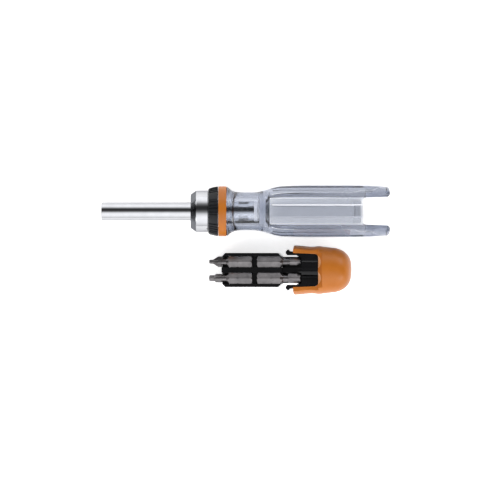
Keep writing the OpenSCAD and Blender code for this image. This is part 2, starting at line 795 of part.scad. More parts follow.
module handle_body() {
  steps = 8;
  flare_x = rim_t;
  neck_x = flare_x + flare_len;
  shoulder_x = neck_x + neck_len;
  crown_x = shoulder_x + shoulder_len;
  grip_x = crown_x + crown_len;
  tail_x = grip_x + grip_len;
  tail_end_x = handle_len - prong_round;
  tail_last_t = (tail_len - prong_round) / tail_len;
  intersection() {
    intersection_for(i = [0:flat_count / 2 - 1])
      rotate([i * 360 / flat_count, 0, 0])
        bar_x(handle_x - over, handle_len + 2 * over, 2 * grip_d, 2 * flat_reach);
    translate([handle_x + seat_gap, 0, 0]) revolve_x(concat(
      [[0, 0]],
      [for (i = [0:steps]) [flare_r(i / steps), i == 0 ? 0 : flare_x + flare_len * i / steps]],
      [for (i = [0:steps]) [shoulder_r(i / steps), shoulder_x + shoulder_len * i / steps]],
      [for (i = [1:steps / 2]) [crown_r(i * 2 / steps), crown_x + crown_len * i * 2 / steps]],
      [for (i = [0:steps / 2])
        let (t = i * 2 / steps)
        [tail_r(tail_last_t * t), tail_x + (tail_len - prong_round) * t]],
      [for (i = [1:steps / 2])
        let (a = 90 * i * 2 / steps)
        [tail_r(1) - prong_round * (1 - cos(a)), tail_end_x + prong_round * sin(a)]],
      [[0, handle_len]]
    ));
  }
}

// Outline of the chamber in a plane through the axis, wider by one overrun than the chamber behind its chamfer
module chamber_outline(w) {
  half = w / 2;
  c = chamber_chamfer;
  end_x = tip_x + handle_len;
  polygon([
    [chamber_x, c - half], [chamber_x + c + over, -half - over], [end_x, -half - over],
    [end_x, half + over], [chamber_x + c + over, half + over], [chamber_x, half - c]
  ]);
}

module chamber_space() {
  w = chamber_w;
  h = chamber_h;
  c = chamber_corner;
  len = handle_len;
  intersection() {
    union() {
      bar_x(chamber_x, len, w, h - 2 * c);
      bar_x(chamber_x, len, w - 2 * c, h);
      for (y = [-1, 1])
        for (z = [-1, 1])
          translate([0, y * (w / 2 - c), z * (h / 2 - c)]) tube_x(chamber_x, len, c);
    }
    translate([0, 0, -h]) linear_extrude(2 * h) chamber_outline(w);
    rotate([90, 0, 0]) translate([0, 0, -h]) linear_extrude(2 * h) chamber_outline(h);
  }
}

module fork_gap() {
  root_half = chamber_w / 2;
  end_half = root_half + fork_flare;
  inset = fork_fillet;
  translate([0, 0, -grip_d]) {
    linear_extrude(2 * grip_d) polygon([
      [fork_x + inset, -root_half], [tip_x + over, -end_half],
      [tip_x + over, end_half], [fork_x + inset, root_half]
    ]);
    translate([fork_x, inset - root_half, 0]) cube([2 * inset, 2 * (root_half - inset), 2 * grip_d]);
    for (side = [-1, 1])
      translate([fork_x + inset, side * (root_half - inset), 0]) cylinder(h = 2 * grip_d, r = inset);
  }
}

module handle() {
  color([0.72, 0.76, 0.84, 0.45]) difference() {
    handle_body();
    tube_x(handle_x - over, bore_len + over, stem_r + seat_gap);
    chamber_space();
    fork_gap();
    bar_x(fork_x - latch_len, latch_len + fork_fillet, latch_w, chamber_h + 2 * latch_depth);
  }
}

// Cartridge

// Lays the cartridge beside the driver, nose down
module in_cartridge() {
  translate([cap_x, -cartridge_gap, cartridge_z])
    rotate([0, -cartridge_tilt, 0])
      translate([-cap_x, 0, 0]) children();
}

// The places of the four bits on one side of the holder: left and right bits of the upper and lower rows
module bit_place(right, upper, front) {
  rear_x = right ? hex_right_x - hex_len : hex_left_x + hex_len;
  in_cartridge()
    translate([rear_x, (upper ? 1 : -1) * row_y, (front ? 1 : -1) * layer_z])
      mirror([right ? 0 : 1, 0, 0]) children();
}

// Both rails of one side, with chamfered ends
module holder_frame() {
  half_w = holder_half_w;
  c = holder_chamfer;
  depth = 2 * holder_half_h;
  rail_half = row_y - rail_inner;
  outer_rail_inner = row_y + rail_inner;
  difference() {
    translate([0, 0, -holder_half_h]) linear_extrude(depth) polygon([
      [holder_x, -half_w + c], [holder_x + c, -half_w],
      [holder_end_x - c, -half_w], [holder_end_x, -half_w + c],
      [holder_end_x, half_w - c], [holder_end_x - c, half_w],
      [holder_x + c, half_w], [holder_x, half_w - c]
    ]);
    for (side = [-1, 1])
      translate([holder_x - over, side > 0 ? rail_half : -outer_rail_inner, -holder_half_h - over])
        cube([holder_end_x - holder_x + 2 * over, outer_rail_inner - rail_half, depth + 2 * over]);
  }
}

module holder_walls() {
  inner_w = 2 * (row_y + rail_inner) + 2 * seat_gap;
  wall_h = 2 * (holder_half_h - holder_chamfer / 2);
  nose_wall_x = holder_x + 2 * side_gap;
  notch_r = neck_bit_d / 2 + side_gap;
  bar_x(bridge_x, bridge_t, inner_w, wall_h);
  bar_x(nose_wall_x, hex_left_x - 2 * side_gap - nose_wall_x, inner_w, web_t / 2);
  difference() {
    bar_x(nose_wall_x, nose_wall, inner_w, wall_h);
    for (y = [-1, 1])
      for (z = [-1, 1])
        translate([0, y * row_y, z * layer_z]) {
          tube_x(nose_wall_x - over, nose_wall + 2 * over, notch_r);
          translate([nose_wall_x - over, -notch_r, z > 0 ? 0 : -holder_half_h])
            cube([nose_wall + 2 * over, 2 * notch_r, holder_half_h]);
        }
  }
}

module holder_waist() {
  rail_half = row_y - rail_inner;
  waist_h = 2 * (holder_half_h - holder_chamfer);
  bar_x(holder_end_x - seat_gap, waist_len + 2 * seat_gap, 2 * rail_half, waist_h);
  bar_x(holder_end_x - seat_gap, waist_len + 2 * seat_gap, 2 * (holder_half_w - holder_chamfer), web_t);
}

module base_block() {
  corner_x = base_end_x - base_round;
  front_w = base_half_w + base_flare;
  translate([0, 0, -base_half_h]) linear_extrude(2 * base_half_h) polygon([
    [base_x, -front_w], [corner_x, -base_half_w], [corner_x, base_half_w], [base_x, front_w]
  ]);
  bar_x(base_x, base_len, 2 * (base_half_w - base_round), 2 * base_half_h);
  for (side = [-1, 1])
    translate([corner_x, side * (base_half_w - base_round), -base_half_h])
      cylinder(h = 2 * base_half_h, r = base_round);
}

module holder_base() {
  tip_room = bit_len - hex_len - waist_len;
  groove = web_t;
  difference() {
    base_block();
    for (y = [-1, 1])
      for (z = [-1, 1])
        translate([base_x - over, y * row_y - rail_inner, z > 0 ? layer_z - rail_inner : -base_half_h - over])
          cube([tip_room + side_gap + over, 2 * rail_inner, base_half_h - layer_z + rail_inner + over]);
    for (y = [-1:1])
      for (z = [-1, 1])
        translate([base_x - over, y * row_y - groove / 2, z * base_half_h - groove / 2])
          cube([base_len + 2 * over, groove, groove]);
  }
  bar_x(base_end_x - over, tenon_len + over, tenon_w, tenon_h);
}

module snap_arm() {
  barb_x = arm_x + barb_len / 2;
  root_x = base_x + base_len / 2;
  root_y = base_half_w + base_flare / 2;
  translate([0, 0, -arm_w / 2]) linear_extrude(arm_w) polygon([
    [arm_x + barb_len / 3, arm_inner], [base_x, arm_inner], [root_x, base_half_w - base_round],
    [root_x, root_y], [base_x, arm_inner + arm_t],
    [arm_x + barb_len, arm_inner + arm_t], [barb_x, arm_inner + arm_t + barb_h],
    [arm_x, arm_inner + arm_t], [arm_x, arm_inner + arm_t / 2]
  ]);
}

module bit_holder() {
  color(black_shade) in_cartridge() {
    holder_frame();
    holder_walls();
    holder_waist();
    holder_base();
    for (side = [0, 1]) mirror([0, side, 0]) snap_arm();
  }
}

// Radius of the dome's end, from 0 where it starts to 1 at its top
function dome_r(t) = (cap_r - dome_taper) * pow(1 - pow(t, dome_power), 1 / dome_root);

module cap_body() {
  steps = 10;
  end_len = dome_len - dome_taper_len;
  revolve_x(concat(
    [[0, cap_x], [cap_r, cap_x]],
    [for (i = [0:steps]) [dome_r(sin(90 * i / steps)), cap_x + dome_taper_len + end_len * sin(90 * i / steps)]]
  ));
  intersection() {
    revolve_x([
      [0, skirt_x], [skirt_tip_r, skirt_x], [skirt_waist_r, cap_x - skirt_len / 4],
      [cap_r, cap_x], [cap_r, cap_x + over], [0, cap_x + over]
    ]);
    bar_x(skirt_x - over, skirt_len + 2 * over, 2 * grip_d, chamber_w - 2 * skirt_side_gap);
  }
}

// The slot between the skirts, which holds the base block
module skirt_slot() {
  corner_x = cap_x - base_round;
  corner_y = skirt_inner_root - base_round;
  translate([0, 0, -grip_d]) {
    linear_extrude(2 * grip_d) polygon([
      [skirt_x - over, -skirt_inner_tip], [corner_x, -skirt_inner_root],
      [corner_x, skirt_inner_root], [skirt_x - over, skirt_inner_tip]
    ]);
    translate([corner_x - over, -corner_y, 0]) cube([base_round + over, 2 * corner_y, 2 * grip_d]);
    for (side = [-1, 1])
      translate([corner_x, side * corner_y, 0]) cylinder(h = 2 * grip_d, r = base_round);
  }
}

module end_cap() {
  channel_w = arm_w + 4 * side_gap;
  channel_y = arm_inner + arm_t + barb_h / 2;
  color(orange_shade) in_cartridge() difference() {
    cap_body();
    skirt_slot();
    bar_x(skirt_x - over, skirt_len + over - skirt_len / 4, 2 * channel_y, channel_w);
    bar_x(cap_x - over, tenon_len + over, tenon_w + 2 * seat_gap, tenon_h + 2 * seat_gap);
    for (side = [0, 180])
      rotate([side, 0, 0]) {
        translate([cap_x - over, -step_half_w, step_half_h])
          cube([step_len + over, 2 * step_half_w, cap_r]);
        for (y = [-1, 1])
          translate([cap_x - scoop_r * scoop_back_share, y * skirt_inner_root / 2, step_half_h - scoop_depth])
            cylinder(h = cap_r, r = scoop_r);
      }
  }
}

// Bits, each with its rear end at the origin and its tip towards +X

module bit_shank(tip_d) {
  notch_r = hex_r - notch_depth;
  along_x() difference() {
    intersection() {
      cylinder(h = hex_len, r = hex_r, $fn = 6);
      rotate_extrude() polygon([
        [0, 0], [hex_r - hex_chamfer, 0], [hex_r, hex_chamfer], [hex_r, hex_len - hex_chamfer],
        [hex_r - hex_chamfer, hex_len], [0, hex_len]
      ]);
    }
    rotate_extrude() polygon([
      [notch_r, notch_place], [hex_r + notch_w, notch_place - notch_w], [hex_r + notch_w, notch_place + notch_w]
    ]);
  }
  along_x(hex_len - seat_gap)
    cylinder(h = bit_neck_cone + seat_gap, r1 = bit_af / 2 - seat_gap, r2 = neck_bit_d / 2);
  tube_x(hex_len, hex_start + seat_gap, neck_bit_d / 2);
}

// A cross tip: a cone and a point, with four flutes
module cross_tip(shaft_d, point_d) {
  start = hex_len + hex_start;
  shaft_end = bit_len - cross_cone - cross_point;
  end_r = point_d / 2 * cross_end_share;
  difference() {
    revolve_x([
      [0, start], [shaft_d / 2, start], [shaft_d / 2, shaft_end], [point_d / 2, shaft_end + cross_cone],
      [end_r, bit_len - slot_t / 4], [end_r - slot_t / 4, bit_len], [0, bit_len]
    ]);
    for (a = [45:90:315])
      rotate([a, 0, 0])
        translate([bit_len - slot_t, point_d / 2 * cross_rib_share, 0])
          rotate([0, 0, 180 - cross_rise])
            rotate([-45, 0, 0])
              translate([-cross_point, -shaft_d, -shaft_d])
                cube([2 * cross_cone + 2 * cross_point, shaft_d, shaft_d]);
  }
}

// The round shoulder that carries a key
module shoulder(d, key_len) {
  start = hex_len + hex_start;
  cone = neck_bit_d / 4;
  tube_x(start, bit_len - key_len - cone - start, d / 2);
  along_x(bit_len - key_len - cone) cylinder(h = cone, r1 = d / 2, r2 = d / 2 * square_end_share);
}

module square_key(w, key_len) {
  end_x = bit_len - key_len - neck_bit_d / 4;
  full_len = bit_len - end_x;
  intersection() {
    rotate([45, 0, 0]) bar_x(end_x, full_len, w, w);
    along_x(end_x) cylinder(h = full_len, r1 = w, r2 = w * square_end_share);
  }
}

module hex_key(af, key_len) {
  key_r = af / 2 / cos(30);
  chamfer = af * key_chamfer_share;
  start = bit_len - key_len;
  neck_end = hex_len + hex_start;
  if (start > neck_end) tube_x(neck_end, start - neck_end, af / 2);
  intersection() {
    hex_prism_x(start - seat_gap, key_len + seat_gap, af);
    revolve_x([
      [0, start - over], [key_r - chamfer / 2, start - over], [key_r - chamfer / 2, start],
      [key_r + seat_gap, start + chamfer], [key_r + seat_gap, bit_len - chamfer],
      [key_r - chamfer, bit_len], [0, bit_len]
    ]);
  }
}

module star_key(d, key_len) {
  lobe_r = d * star_lobe_share;
  start = bit_len - key_len - neck_bit_d / 4;
  difference() {
    tube_x(start, bit_len - start, d / 2);
    for (a = [0:60:300])
      rotate([a, 0, 0])
        translate([0, d / 2 + lobe_r * star_sink_share, 0]) tube_x(bit_len - key_len, key_len + over, lobe_r);
  }
}

module blade_tip(blade_w) {
  start = hex_len + hex_start;
  shaft_end = bit_len - slot_taper;
  intersection() {
    tube_x(start, bit_len - start, slot_shaft_d / 2);
    translate([0, blade_w / 2, 0]) rotate([90, 0, 0]) linear_extrude(blade_w) polygon([
      [start, -slot_shaft_d], [shaft_end, -slot_shaft_d / 2], [bit_len, -slot_t / 2],
      [bit_len, slot_t / 2], [shaft_end, slot_shaft_d / 2], [start, slot_shaft_d]
    ]);
  }
}

module bit_phillips_large() {
  color(bit_shade) bit_place(false, true, true) {
    bit_shank();
    cross_tip(cross_large_d, cross_large_point);
  }
}

module bit_square() {
  color(bit_shade) bit_place(false, false, true) {
    bit_shank();
    shoulder(square_shoulder_d, square_len);
    square_key(square_w, square_len);
  }
}

module bit_hex_small() {
  color(bit_shade) bit_place(true, true, true) {
    bit_shank();
    hex_key(hex_small_af, hex_small_len);
  }
}

module bit_hex_large() {
  color(bit_shade) bit_place(true, false, true) {
    bit_shank();
    hex_key(hex_large_af, hex_large_len);
  }
}

module bit_phillips_small() {
  color(bit_shade) bit_place(false, true, false) {
    bit_shank();
    cross_tip(cross_small_d, cross_small_point);
  }
}

module bit_slotted_narrow() {
  color(bit_shade) bit_place(true, true, false) {
    bit_shank();
    blade_tip(slot_narrow_w);
  }
}

module bit_star() {
  color(bit_shade) bit_place(false, false, false) {
    bit_shank();
    shoulder(star_d + 2 * star_d * star_lobe_share, star_len);
    star_key(star_d, star_len);
  }
}

module bit_slotted_wide() {
  color(bit_shade) bit_place(true, false, false) {
    bit_shank();
    blade_tip(slot_wide_w);
  }
}

spindle_tube();
ratchet_gear();
bit_magnet();
spindle_circlip();
nose_cover();
front_bush();
rear_bush();
ratchet_housing();
pawl_retainer();
pawl_pins();
selector_ring();
selector_cam();
pawl_left();
pawl_right();
pawl_spring_left();
pawl_spring_right();
detent_ball();
detent_spring();
colour_ring();
handle();
bit_holder();
end_cap();
bit_phillips_large();
bit_square();
bit_hex_small();
bit_hex_large();
bit_phillips_small();
bit_slotted_narrow();
bit_star();
bit_slotted_wide();
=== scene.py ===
import json
import math

import bmesh
import bpy
import numpy as np
from mathutils import Matrix, Vector


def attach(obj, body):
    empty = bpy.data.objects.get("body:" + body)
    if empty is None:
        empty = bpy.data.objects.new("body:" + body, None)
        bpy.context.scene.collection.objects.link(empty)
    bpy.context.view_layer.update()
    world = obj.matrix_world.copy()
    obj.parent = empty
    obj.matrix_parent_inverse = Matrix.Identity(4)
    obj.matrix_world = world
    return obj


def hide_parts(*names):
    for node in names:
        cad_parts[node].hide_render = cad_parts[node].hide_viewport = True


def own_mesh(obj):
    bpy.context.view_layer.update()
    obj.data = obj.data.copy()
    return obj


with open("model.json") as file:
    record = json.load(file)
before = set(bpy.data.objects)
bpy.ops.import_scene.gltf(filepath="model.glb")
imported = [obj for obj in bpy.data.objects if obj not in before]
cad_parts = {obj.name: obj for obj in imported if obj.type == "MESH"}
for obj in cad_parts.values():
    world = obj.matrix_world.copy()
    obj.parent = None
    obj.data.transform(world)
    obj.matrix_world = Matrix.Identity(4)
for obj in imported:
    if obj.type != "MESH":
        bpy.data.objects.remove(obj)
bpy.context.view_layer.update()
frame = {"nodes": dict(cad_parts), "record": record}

MM = 0.001
# From the driver's axis to the handle's flats, and so to the floor, in millimetres
FLAT = 14.4
FLOOR_Z = -FLAT * MM

# Camera: 0.575 mm a pixel, 480 pixels wide, straight down
PIXEL = 0.575 * MM
WIDTH_PX = 480
CENTRE_X = 79.7 * MM
CENTRE_Y = -16.5 * MM
CAMERA_HEIGHT = 1.6
SENSOR = 36


# Materials

class Shade:
    """One procedural material, with a few helpers for its nodes."""

    def __init__(self, name):
        self.material = bpy.data.materials.new(name)
        self.material.use_nodes = True
        self.tree = self.material.node_tree
        self.shader = self.tree.nodes["Principled BSDF"]
        self.coords = self.tree.nodes.new("ShaderNodeTexCoord").outputs["Object"]

    def link(self, a, b):
        self.tree.links.new(a, b)

    def drive(self, name, value):
        """Links a value to one of the shader's inputs."""
        self.link(value, self.shader.inputs[name])

    def set(self, name, value):
        self.shader.inputs[name].default_value = value

    def noise(self, scale, detail=3.0):
        node = self.tree.nodes.new("ShaderNodeTexNoise")
        node.inputs["Scale"].default_value = scale
        node.inputs["Detail"].default_value = detail
        self.link(self.coords, node.inputs["Vector"])
        return node.outputs["Fac"]

    def spread(self, value, low, high, start=0.3, end=0.7):
        node = self.tree.nodes.new("ShaderNodeMapRange")
        node.inputs["From Min"].default_value = start
        node.inputs["From Max"].default_value = end
        node.inputs["To Min"].default_value = low
        node.inputs["To Max"].default_value = high
        self.link(value, node.inputs["Value"])
        return node.outputs["Result"]

    def mix(self, fac, a, b):
        """Mixes two colours, each of them a socket or a plain colour."""
        node = self.tree.nodes.new("ShaderNodeMix")
        node.data_type = "RGBA"
        for name, value in (("A", a), ("B", b)):
            if isinstance(value, tuple):
                node.inputs[name].default_value = (*value, 1)
            else:
                self.link(value, node.inputs[name])
        self.link(fac, node.inputs["Factor"])
        return node.outputs["Result"]

    def add(self, a, b, clamp=False):
        node = self.tree.nodes.new("ShaderNodeMath")
        node.operation = "ADD"
        node.use_clamp = clamp
        self.link(a, node.inputs[0])
        self.link(b, node.inputs[1])
        return node.outputs["Value"]

    def attribute(self, name):
        node = self.tree.nodes.new("ShaderNodeAttribute")
        node.attribute_name = name
        return node.outputs["Fac"]

    def bump(self, value, depth, edge=0.0):
        """A bump of this depth in metres, over edges that are rounded in shading by edge."""
        node = self.tree.nodes.new("ShaderNodeBump")
        node.inputs["Distance"].default_value = depth
        self.link(value, node.inputs["Height"])
        if edge:
            bevel = self.tree.nodes.new("ShaderNodeBevel")
            bevel.inputs["Radius"].default_value = edge
            bevel.samples = 6
            self.link(bevel.outputs["Normal"], node.inputs["Normal"])
        self.drive("Normal", node.outputs["Normal"])


METAL_TINT = (0.6, 0.6, 0.618, 1)


def metal(name, low, high, rough, depth=0.004 * MM, edge=0.08 * MM):
    """Metal that varies softly between two colours, with a fine grain."""
    shade = Shade(name)
    cloud = shade.noise(220.0, 4.0)
    fine = shade.noise(900.0)
    shade.drive("Base Color", shade.mix(shade.spread(cloud, 0, 1), low, high))
    shade.drive("Roughness", shade.spread(fine, rough * 0.8, rough * 1.3))
    shade.set("Metallic", 1.0)
    shade.set("Specular Tint", METAL_TINT)
    shade.bump(fine, depth, edge)
    return shade.material


def plastic(name, low, high, rough, shine):
    """Moulded plastic that varies softly between two colours."""
    shade = Shade(name)
    cloud = shade.noise(160.0)
    fine = shade.noise(1400.0, 4.0)
    shade.drive("Base Color", shade.mix(shade.spread(cloud, 0, 1), low, high))
    shade.drive("Roughness", shade.spread(cloud, rough * 0.88, rough * 1.15))
    shade.set("Specular IOR Level", shine)
    shade.bump(fine, 0.01 * MM, 0.12 * MM)
    return shade.material


def clear(name):
    """Clear plastic with a faint tint through its depth.

    Three fields of the mesh vary it: one darkens the colour as painted shade, one makes it whiter and
    frosted as a scuff that is also a painted highlight, and haze makes it rougher.
    """
    shade = Shade(name)
    cloud = shade.noise(90.0, 2.0)
    scuff_and_highlight = shade.attribute("scuff_and_highlight")
    haze = shade.attribute("haze")
    # The darker colour is painted shade: the painted-shade field mixes it in where the handle looks darker
    # through its edges, prongs and panels.
    dark = shade.mix(shade.spread(cloud, 0, 1), (0.50, 0.52, 0.57), (0.53, 0.55, 0.60))
    light = shade.mix(shade.spread(cloud, 0, 1), (0.965, 0.972, 0.985), (0.985, 0.99, 1.0))
    tint_and_painted_shade = shade.mix(shade.attribute("painted_shade"), dark, light)
    # Where the scuff field is high the plastic turns whitish and frosted: a scuff, and a painted highlight
    # along the panels' edges.
    scuff_and_highlight_mix = shade.spread(scuff_and_highlight, 0.0, 1.0, 0.1, 0.8)
    shade.drive("Base Color", shade.mix(scuff_and_highlight_mix, tint_and_painted_shade, (0.96, 0.975, 1.0)))
    rough = shade.spread(cloud, 0.015, 0.05)
    for field, strength in ((scuff_and_highlight, 0.4), (haze, 0.3)):
        rough = shade.add(rough, shade.spread(field, 0.0, strength, 0.0, 1.0))
    shade.drive("Roughness", rough)
    shade.drive("Transmission Weight", shade.spread(scuff_and_highlight, 1.0, 0.08, 0.1, 0.8))
    shade.set("IOR", 1.49)
    inside = shade.tree.nodes.new("ShaderNodeVolumeAbsorption")
    inside.inputs["Color"].default_value = (0.64, 0.67, 0.74, 1)
    inside.inputs["Density"].default_value = 122.0
    shade.link(inside.outputs["Volume"], shade.tree.nodes["Material Output"].inputs["Volume"])
    shade.bump(shade.noise(60.0, 2.0), 0.06 * MM)
    return shade.material


CHROME = metal("chrome", (0.46, 0.465, 0.48), (0.5, 0.505, 0.52), 0.07)
# A darker copy of the chrome for the nose cover's chamfer: painted shade, for the darker reflection in it.
SHADED_CHAMFER_CHROME = metal("chamfer_painted_shade", (0.12, 0.125, 0.135), (0.17, 0.175, 0.185), 0.2)
HOUSING = metal("housing_metal", (0.58, 0.59, 0.61), (0.66, 0.67, 0.69), 0.14)
HARD = metal("hard_steel", (0.16, 0.16, 0.17), (0.24, 0.24, 0.25), 0.3)
BRIGHT = metal("bright_steel", (0.5, 0.5, 0.51), (0.6, 0.6, 0.61), 0.18)
BRONZE = metal("bronze", (0.42, 0.25, 0.1), (0.52, 0.32, 0.14), 0.32)
BIT = metal("bit_steel", (0.125, 0.12, 0.122), (0.19, 0.18, 0.182), 0.34, 0.012 * MM, 0.15 * MM)
BLACK = plastic("black_plastic", (0.006, 0.007, 0.008), (0.013, 0.014, 0.016), 0.38, 0.24)
GLOSS = plastic("black_gloss", (0.003, 0.003, 0.0035), (0.006, 0.006, 0.007), 0.13, 0.24)
# A lighter copy of the orange for the cap's scoops: a painted highlight.
LIT_ORANGE = plastic("orange_painted_highlight", (0.62, 0.27, 0.10), (0.68, 0.31, 0.13), 0.3, 0.5)
ORANGE = plastic("orange_plastic", (0.505, 0.152, 0.014), (0.55, 0.172, 0.02), 0.34, 0.34)
CLEAR = clear("clear_plastic")

SLOT_MATERIALS = {
    "chrome": CHROME, "housing_metal": HOUSING, "hard_steel": HARD, "bright_steel": BRIGHT, "bronze": BRONZE,
    "black_plastic": BLACK, "orange_plastic": ORANGE, "clear_plastic": CLEAR, "bit_steel": BIT,
}
BODY_OF = {node: body for body, nodes in frame["record"]["behaviour"]["bodies"].items() for node in nodes}
SLOT_OF = {row["node"]: row["material_slot"] for row in frame["record"]["subparts"]}
for cad_node, slot in SLOT_OF.items():
    cad = frame["nodes"][cad_node]
    cad.data.materials.clear()
    cad.data.materials.append(SLOT_MATERIALS[slot])

# Helpers for the pieces. Lengths are in millimetres until a mesh is made.

# How far the cutters run past the object, to each side and behind
PAST = 20
PAST_X = 180


def smooth(t):
    """A soft step from 0 to 1."""
    t = min(1.0, max(0.0, t))
    return t * t * (3 - 2 * t)


def ramp(value, start, length):
    """A soft step from 0 at start to 1 a length further on."""
    return smooth((value - start) / length)


def around(steps, turn=1):
    """Cosine and sine of the angles of a full turn, which is -1 to go round backwards."""
    angles = [turn * 2 * math.pi * k / steps for k in range(steps)]
    return [(math.cos(a), math.sin(a)) for a in angles]


def edit_mesh(mesh, *changes):
    work = bmesh.new()
    work.from_mesh(mesh)
    for change in changes:
        change(work)
    work.to_mesh(mesh)
    work.free()
    return mesh


def merge_points(work):
    bmesh.ops.remove_doubles(work, verts=work.verts, dist=1e-7)


def face_outwards(work):
    bmesh.ops.recalc_face_normals(work, faces=work.faces)


def join_flats(work):
    bmesh.ops.dissolve_limit(work, angle_limit=math.radians(0.5), verts=work.verts, edges=work.edges)


def show(name, data):
    """Puts a mesh, a lamp or a camera in the scene."""
    thing = bpy.data.objects.new(name, data)
    bpy.context.scene.collection.objects.link(thing)
    return thing


def apply_modifiers(piece):
    bpy.context.view_layer.update()
    shape = piece.evaluated_get(bpy.context.evaluated_depsgraph_get())
    mesh = bpy.data.meshes.new_from_object(shape)
    piece.modifiers.clear()
    piece.data = mesh


def finish_piece(name, mesh, materials, angle=35, width=0.0):
    """Puts a mesh in the scene as one piece, with bevelled edges where a width is given."""
    edit_mesh(mesh, merge_points, face_outwards)
    mesh.materials.clear()
    for material in materials:
        mesh.materials.append(material)
    piece = show(name, mesh)
    if width:
        bevel = piece.modifiers.new("edges", "BEVEL")
        bevel.width = width * MM
        bevel.segments = 2
        bevel.limit_method = "ANGLE"
        bevel.angle_limit = math.radians(28)
        bevel.use_clamp_overlap = True
        apply_modifiers(piece)
    piece.data.polygons.foreach_set("use_smooth", [True] * len(piece.data.polygons))
    piece.data.set_sharp_from_angle(angle=math.radians(angle))
    return piece


def stand_for(piece, node):
    """The piece is shown in place of a CAD node and moves with its body."""
    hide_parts(node)
    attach(piece, BODY_OF[node])


def mesh_of(name, points, faces):
    mesh = bpy.data.meshes.new(name)
    mesh.from_pydata([(x * MM, y * MM, z * MM) for x, y, z in points], [], faces)
    return mesh


def grid(name, rows):
    """A closed body through rows of points, each row going once round it."""
    count = len(rows[0])
    points = [point for row in rows for point in row]
    faces = []
    for i in range(len(rows) - 1):
        for k in range(count):
            n = (k + 1) % count
            faces.append((i * count + k, i * count + n, (i + 1) * count + n, (i + 1) * count + k))
    faces.append(tuple(reversed(range(count))))
    faces.append(tuple(range((len(rows) - 1) * count, len(rows) * count)))
    return mesh_of(name, points, faces)


def rounded(corners, steps=4):
    """An outline of (x, y, radius) corners whose corners are arcs."""
    result = []
    count = len(corners)
    for i, (x, y, radius) in enumerate(corners):
        if radius <= 0:
            result.append((x, y))
            continue
        here = Vector((x, y))
        before = Vector(corners[i - 1][:2]) - here
        after = Vector(corners[(i + 1) % count][:2]) - here
        half = before.angle(after) / 2
        reach = min(radius / math.tan(half), before.length * 0.48, after.length * 0.48)
        size = reach * math.tan(half)
        middle = here + (before.normalized() + after.normalized()).normalized() * size / math.sin(half)
        start = here + before.normalized() * reach - middle
        end = here + after.normalized() * reach - middle
        for k in range(steps + 1):
            way = start.lerp(end, k / steps).normalized()
            result.append(tuple(middle + way * size))
    return result


def lathe(name, outline, steps=192):
    """Revolves a closed outline of (place along X, radius) round the X axis."""
    count = len(outline)
    points = []
    faces = []
    for k, (c, s) in enumerate(around(steps)):
        points.extend((x, r * c, r * s) for x, r in outline)
        n = (k + 1) % steps
        for i in range(count):
            j = (i + 1) % count
            faces.append((k * count + i, k * count + j, n * count + j, n * count + i))
    return mesh_of(name, points, faces)


def lathe_solid(name, outline, steps=192):
    """Revolves an outline that begins and ends on the axis."""
    rows = [[(x, r * c, r * s) for c, s in around(steps)] for x, r in outline if r > 0]
    return grid(name, list(reversed(rows)))


def prism(name, outline, low, high):
    """A straight body over an outline of (x, y), from low to high along Z."""
    count = len(outline)
    points = [(x, y, level) for level in (low, high) for x, y in outline]
    faces = [tuple(range(count)), tuple(reversed(range(count, 2 * count)))]
    for i in range(count):
        j = (i + 1) % count
        faces.append((i, j, count + j, count + i))
    return mesh_of(name, points, faces)


def block(name, start, end, half, low, high):
    """A box from start to end along X and from low to high along Z, half its width to each side."""
    return prism(name, [(start, -half), (end, -half), (end, half), (start, half)], low, high)


def round_cutter(name, x, y, side, widths, steps):
    """A round body along Z through (height, radius) pairs; side is 1 above and -1 below."""
    rows = [[(x + r * c, y + r * s, side * z) for c, s in around(steps, side)] for z, r in widths]
    return grid(name, rows)


def cut(mesh, cutters, operation="DIFFERENCE"):
    """Cuts bodies out of a mesh, or joins or intersects them with it, and removes the helper bodies."""
    bodies = [show(body.name, edit_mesh(body, face_outwards)) for body in [mesh] + cutters]
    piece = bodies[0]
    for helper in bodies[1:]:
        step = piece.modifiers.new("cut", "BOOLEAN")
        step.operation = operation
        step.solver = "EXACT"
        step.object = helper
    apply_modifiers(piece)
    result = piece.data
    for body in bodies:
        bpy.data.objects.remove(body)
    return result


# Clear handle: a fine skin with six recessed panels, cut by the bore, the chamber and smaller shapes

# The profile is counted from HANDLE_X, and the skin starts at FRONT_X
HANDLE_X = 71.9
FRONT_X = 71.92
TIP_X = 165.7
FORK_X = 149.6

# Where the rim, the flare, the neck, the shoulder, the swell and the grip end along the profile, then
# the tail, which falls by a parabola, and the rounding at its end
RIM_END = 0.8
FLARE_END = 11.7
NECK_END = 15.1
SHOULDER_END = 33.1
SWELL_END = 46.1
GRIP_END = 73.1
TAIL_LENGTH = 20.7
TAIL_DROP = 0.9
ROUND_START = 92.0
ROUND_R = 1.8
RIM_R = 14.15
NECK_R = 11
SHOULDER_R = 14.6
GRIP_R = 14.95

PANEL_START = 96.6
PANEL_END = 159.6
PANEL_DEPTH = 0.42
PANEL_HALF = 3.2
WALL_W = 0.75
# Towards the tail the side panels narrow twice: from where, over how far and by how much
NARROWINGS = [(144.5, 4.5, 2.6), (155.0, 5.0, 4.4)]
# The angle of each flat's middle, with the side of it that the nearest pole is on, or 0 at a pole
FLATS = {90: 0, 150: -1, -150: 1, -90: 0, -30: -1, 30: 1}

BORE_END = 91.3
BORE_R = 5.87
CHAMBER_X = 94.7
CHAMBER_Y = 7.7
CHAMBER_Z = 10.1
CHAMBER_SLOPE = 2.1
CHAMBER_CORNER = 1.5
LATCH_X = 145.3
LATCH_END = 151.8
LATCH_HALF = 3.3
HOLLOW_X = 164.0
HOLLOW_Y = 10.9
# How far from a wall a point still counts as on it
NEAR = 0.05


